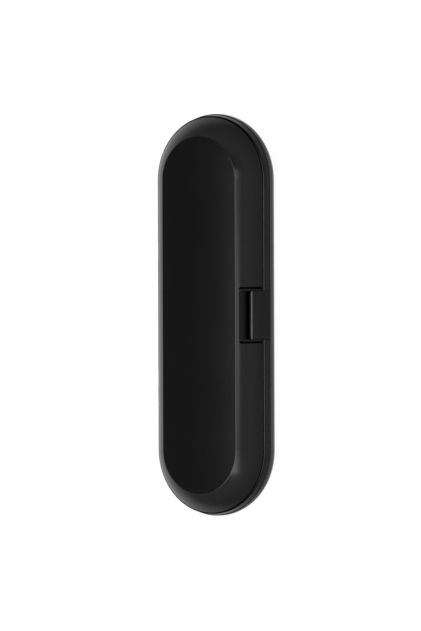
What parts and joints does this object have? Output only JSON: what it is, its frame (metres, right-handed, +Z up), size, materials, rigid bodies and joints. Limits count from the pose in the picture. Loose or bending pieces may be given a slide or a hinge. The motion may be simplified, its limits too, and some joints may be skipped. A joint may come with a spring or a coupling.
{
  "type": "electric toothbrush travel case",
  "caption": "Capsule-shaped clamshell case for an electric toothbrush and spare heads, with a hinged lid, a sprung press latch, and a tray inside.",
  "frame": {"origin": "middle of the flat under the base, which the case rests on", "axes": "+Y along the case, +Z up through the lid, +X from the hinges towards the latch"},
  "size_m": [0.0801, 0.24, 0.0348],
  "materials": {
    "case_black": "satin",
    "inner_grey": "matte",
    "soft_pad": "matte",
    "steel": "satin"
  },
  "bodies": {
    "base": {"base_shell": "case_black", "mid_frame": "case_black", "base_tray": "inner_grey", "frame_screws": "steel", "hinge_pin_upper": "steel", "hinge_pin_lower": "steel", "catch_leaf": "steel", "catch_rivets": "steel", "cradle_pad_upper": "soft_pad", "cradle_pad_lower": "soft_pad", "head_clip_upper": "inner_grey", "head_clip_lower": "inner_grey"},
    "lid": {"lid_shell": "case_black", "lid_liner": "inner_grey", "latch_bracket": "case_black", "latch_pin": "steel", "latch_spring": "steel", "lid_pad_upper": "soft_pad", "lid_pad_lower": "soft_pad"},
    "latch": {"latch_tab": "case_black"}
  },
  "joints": [
    {"name": "lid_hinge", "type": "hinge", "parent": "base", "child": "lid", "pos_m": [-0.0387, 0, 0.017], "axis": [0, -1, 0], "range_deg": [0, 175], "deforming": ["catch_leaf"]},
    {"name": "latch_press", "type": "hinge", "parent": "lid", "child": "latch", "pos_m": [0.035, 0, 0.0229], "axis": [0, -1, 0], "range_deg": [0, 14], "stiffness_Nm_per_rad": 0.04, "springref_deg": -11.46, "deforming": ["latch_spring", "catch_leaf"]}
  ]
}
